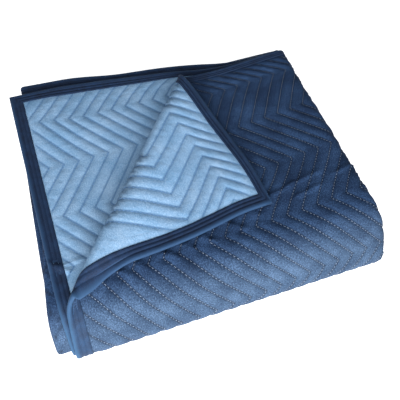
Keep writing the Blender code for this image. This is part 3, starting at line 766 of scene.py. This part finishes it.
# The tape's front is painted lighter for light and sheen, and its outer edge gets a painted highlight
mark_front_light_and_sheen(tape, tape_points)
tape_edge = np.minimum(np.minimum(tape_u, SHEET_U - tape_u), np.minimum(tape_v, SHEET_V - tape_v))
rim = 1 - ease(tape_edge, 0.0018, 0.0065)
mark_points(tape, "rim", rim)
# The third colour is the painted highlight on the outer edge; the factor paints the front lighter for light and sheen
tape.data.materials.append(woven_tape("navy_woven_tape", "#081428", "#152E4E", "#1B3654", (1.25, 1.3, 1.15)))
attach(tape, "root")
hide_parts("edge_binding")

# Quilting thread
# Spun polyester thread, pale on the navy face and blue on the light face.
# Each stitch is a short raised lens that lies in its groove.
STITCH_PITCH = 0.0052
STITCH = (
    # along, across and up, in stitch lengths and half widths
    (-0.5, 0, 0), (-0.25, 1, 0), (-0.25, 0, 1), (-0.25, -1, 0), (-0.25, 0, -1),
    (0.25, 1, 0), (0.25, 0, 1), (0.25, -1, 0), (0.25, 0, -1), (0.5, 0, 0),
)
STITCH_FACES = (
    (0, 2, 1), (0, 3, 2), (0, 4, 3), (0, 1, 4), (1, 2, 6, 5), (2, 3, 7, 6), (3, 4, 8, 7), (4, 1, 5, 8),
    (9, 5, 6), (9, 6, 7), (9, 7, 8), (9, 8, 5),
)


def quilting_rows(first, last, v_low, v_high):
    """The middle and the direction of each stitch of some quilting lines."""
    u, v, du, dv = [], [], [], []
    for number in range(first, last + 1):
        turns = [v_low, *[p for p in [FIRST_PEAK - ZIG_LENGTH, *peaks] if v_low < p < v_high], v_high]
        for start, end in zip(turns, turns[1:]):
            u0, u1 = (LINE_START + LINE_SPACING * number + ZIG_WIDTH / 2 * (zig(t) - 1) for t in (start, end))
            length = math.hypot(u1 - u0, end - start)
            count = max(1, round(length / STITCH_PITCH))
            t = (np.arange(count) + 0.5) / count
            u.append(u0 + (u1 - u0) * t)
            v.append(start + (end - start) * t)
            du.append(np.full(count, (u1 - u0) / length))
            dv.append(np.full(count, (end - start) / length))
    u, v, du, dv = (np.concatenate(part) for part in (u, v, du, dv))
    inside = (u > PAD_INSET + 0.002) & (u < SHEET_U - PAD_INSET - 0.002)
    return u[inside], v[inside], du[inside], dv[inside]


def sew(name, u, v, du, dv, stand, length, half_width, half_height):
    """A run of stitches as one mesh, each laid on the cloth at its own place."""
    shape = np.array(STITCH, float)
    t = shape[:, 0] * length
    w = shape[:, 1] * half_width
    pu = (u[:, None] + du[:, None] * t - dv[:, None] * w).ravel()
    pv = (v[:, None] + dv[:, None] * t + du[:, None] * w).ravel()
    sign = np.sign(stand)
    height = np.repeat(np.full(len(u), stand), len(shape)) + np.tile(shape[:, 2] * half_height * sign, len(u))
    faces = []
    for k in range(len(u)):
        start = k * len(shape)
        for f in STITCH_FACES:
            ring = f if stand < 0 else f[::-1]
            faces.append([p + start for p in ring])
    return add_mesh(name, fold(pu, pv, height), faces, pu, pv)


def spun_thread(name, colour):
    """Spun polyester thread: matt, a little fuzzy, one colour."""
    material = bpy.data.materials.new(name)
    material.use_nodes = True
    shader = material.node_tree.nodes["Principled BSDF"]
    place = add_node(material, "ShaderNodeTexCoord").outputs["Object"]
    fuzz = add_node(material, "ShaderNodeTexNoise", {"Vector": place, "Scale": 900.0, "Detail": 2.0})
    ramp = add_node(material, "ShaderNodeValToRGB", {"Fac": fuzz.outputs["Fac"]})
    shade = linear(colour)
    ramp.color_ramp.elements[0].position = 0.3
    ramp.color_ramp.elements[0].color = (*[c * 0.72 for c in shade[:3]], 1.0)
    ramp.color_ramp.elements[1].position = 0.7
    ramp.color_ramp.elements[1].color = shade
    material.node_tree.links.new(ramp.outputs["Color"], shader.inputs["Base Color"])
    shader.inputs["Roughness"].default_value = 0.7
    shader.inputs["Specular IOR Level"].default_value = 0.3
    return material


TOP_STITCHED = (-1, 25, PAD_INSET, 0.640)
OPEN_STITCHED = (*LAST_LINES, PAD_INSET, 0.460)
RAISED = 0.0001
PALE_STITCH = (0.0032, 0.00024, 0.00028)
BLUE_STITCH = (0.0036, 0.0004, 0.0004)
u, v, du, dv = quilting_rows(*TOP_STITCHED)
a, c = lay(u, v)
shown = (past_fold(a, c) < 0.012) & (a < TOP_RUN + 0.030)
run = (u[shown], v[shown], du[shown], dv[shown])
navy_thread = sew("quilting_thread_navy_face", *run, GROOVE_HALF + RAISED, *PALE_STITCH)
navy_thread.data.materials.append(spun_thread("pale_spun_thread", "#93A3BA"))
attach(navy_thread, "root")

turned = (past_fold(a, c) > -0.004) & (a < TOP_RUN) & (shown_quilting(u, v) > 0.5)
run = (u[turned], v[turned], du[turned], dv[turned])
flap_thread = sew("quilting_thread_turned_corner", *run, -GROOVE_HALF - RAISED, *BLUE_STITCH)
blue_thread = spun_thread("blue_spun_thread", "#5F86B4")
flap_thread.data.materials.append(blue_thread)
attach(flap_thread, "root")

u, v, du, dv = quilting_rows(*OPEN_STITCHED)
a, c = lay(u, v)
over_x = LEFT_EDGE + SIDE_TOTAL - a
open_side = (over_x - FOLD_LINE[0]) * FOLD_OUT[0] + (BACK_EDGE - c - FOLD_LINE[1]) * FOLD_OUT[1] > -0.025
run = (u[open_side], v[open_side], du[open_side], dv[open_side])
light_thread = sew("quilting_thread_light_face", *run, -GROOVE_HALF - RAISED, *BLUE_STITCH)
light_thread.data.materials.append(blue_thread)
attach(light_thread, "root")

# Floor and light
# A plain white floor under soft studio light, brighter from the front.
bpy.ops.object.select_all(action="DESELECT")
bpy.ops.mesh.primitive_plane_add(size=12, location=(0, 0, 0))
floor = bpy.context.object
floor.name = "floor"
paper = bpy.data.materials.new("white_paper")
paper.use_nodes = True
paper.node_tree.nodes["Principled BSDF"].inputs["Base Color"].default_value = linear("#F4F5F7")
paper.node_tree.nodes["Principled BSDF"].inputs["Roughness"].default_value = 0.9
paper.node_tree.nodes["Principled BSDF"].inputs["Emission Color"].default_value = linear("#FFFFFF")
paper.node_tree.nodes["Principled BSDF"].inputs["Emission Strength"].default_value = 0.80
floor.data.materials.append(paper)

world = bpy.data.worlds.new("studio")
bpy.context.scene.world = world
world.use_nodes = True
world.node_tree.nodes["Background"].inputs["Color"].default_value = linear("#EEF2F8")
world.node_tree.nodes["Background"].inputs["Strength"].default_value = 0.46


def soft_box(name, place, target, size, power):
    """A soft light, wide and high in metres, that faces a point."""
    light = bpy.data.lights.new(name, "AREA")
    light.shape = "RECTANGLE"
    light.size, light.size_y = size
    light.energy = power
    lamp = bpy.data.objects.new(name, light)
    bpy.context.scene.collection.objects.link(lamp)
    lamp.location = place
    aim = np.array(target) - np.array(place)
    tilt = math.atan2(math.hypot(aim[0], aim[1]), -aim[2])
    lamp.rotation_euler = (tilt, 0, math.atan2(aim[1], aim[0]) - math.pi / 2)


soft_box("front_soft_box", (-0.5, -1.6, 0.66), (0, 0, 0.05), (2.0, 1.0), 104)

# Camera
# At the photograph's place: 56 degrees above the floor, from front left.
lens = bpy.data.cameras.new("camera")
lens.lens = 54
lens.sensor_width = 36
camera = bpy.data.objects.new("camera", lens)
bpy.context.scene.collection.objects.link(camera)
camera.location = (-0.16797, -0.58561, 0.87552)
camera.rotation_euler = (math.radians(90 - 56.0), 0, math.radians(-19.1))
bpy.context.scene.camera = camera
bpy.context.scene.view_settings.view_transform = "Standard"
